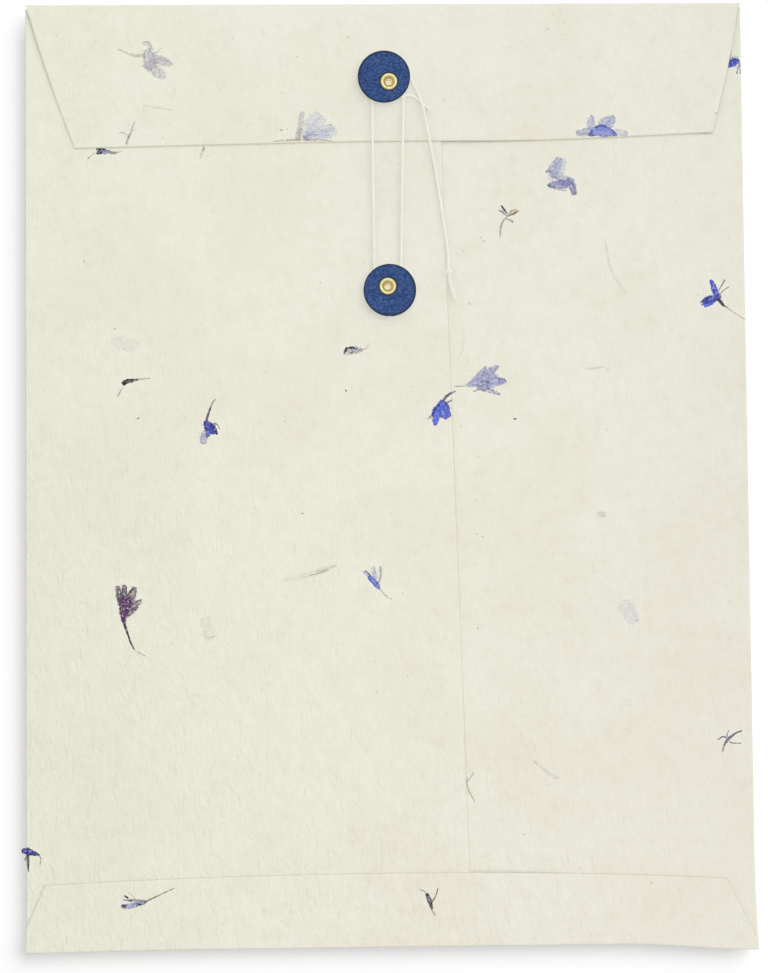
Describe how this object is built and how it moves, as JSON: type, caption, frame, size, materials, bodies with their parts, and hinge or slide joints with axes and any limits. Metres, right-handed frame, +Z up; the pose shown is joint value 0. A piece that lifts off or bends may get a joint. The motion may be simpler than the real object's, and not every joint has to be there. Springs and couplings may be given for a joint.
{
  "type": "string tie envelope",
  "caption": "Flat handmade-paper document envelope with a folding flap, held shut by cotton string wound round riveted card buttons.",
  "frame": {"origin": "middle of the envelope's outline, on the surface that its front face lies on", "axes": "+X across to the right seen from the flap side, +Y to the top fold, +Z up out of the flap side"},
  "size_m": [0.25, 0.3264, 0.0101],
  "materials": {
    "handmade_paper": "matt cream handmade paper with petals and fibres",
    "dry_paste": "thin dry paste",
    "blue_card": "matt fibrous dark blue card",
    "plain_card": "matt pale card",
    "brass": "bright pressed brass",
    "cotton_string": "twisted natural cotton"
  },
  "bodies": {
    "pocket": {"front_panel": "handmade_paper", "left_side_panel": "handmade_paper", "right_side_panel": "handmade_paper", "left_fold": "handmade_paper", "right_fold": "handmade_paper", "bottom_fold": "handmade_paper", "bottom_flap": "handmade_paper", "centre_seam_glue": "dry_paste", "bottom_flap_glue": "dry_paste", "lower_eyelet": "brass", "lower_spacer": "plain_card"},
    "lower_button": {"lower_button": "blue_card"},
    "top_fold": {"top_fold": "handmade_paper"},
    "closure_flap": {"closure_flap": "handmade_paper", "upper_eyelet": "brass", "upper_spacer": "plain_card", "string_winding": "cotton_string", "string_tail": "cotton_string", "string_anchor_tail": "cotton_string", "anchor_knot": "cotton_string", "tail_knot": "cotton_string"},
    "upper_button": {"upper_button": "blue_card"}
  },
  "joints": [
    {"name": "top_fold_hinge", "type": "hinge", "parent": "pocket", "child": "top_fold", "pos_m": [0, 0.14925, 0], "axis": [-1, 0, 0], "range_deg": [0, 27.5]},
    {"name": "flap_hinge", "type": "hinge", "parent": "top_fold", "child": "closure_flap", "pos_m": [0, 0.16325, 0.0073], "axis": [-1, 0, 0], "range_deg": [0, 135], "deforming": ["string_winding", "string_tail", "string_anchor_tail", "anchor_knot", "tail_knot"]},
    {"name": "upper_button_spin", "type": "hinge", "parent": "closure_flap", "child": "upper_button", "pos_m": [0.0014, 0.13535, 0.0092], "axis": [0, 0, 1], "continuous": true},
    {"name": "lower_button_spin", "type": "hinge", "parent": "pocket", "child": "lower_button", "pos_m": [0.0004, 0.06395, 0.0082], "axis": [0, 0, 1], "continuous": true}
  ],
  "couplings": [
    {"joint": "top_fold_hinge", "follows": "flap_hinge", "ratio": 0.2}
  ]
}
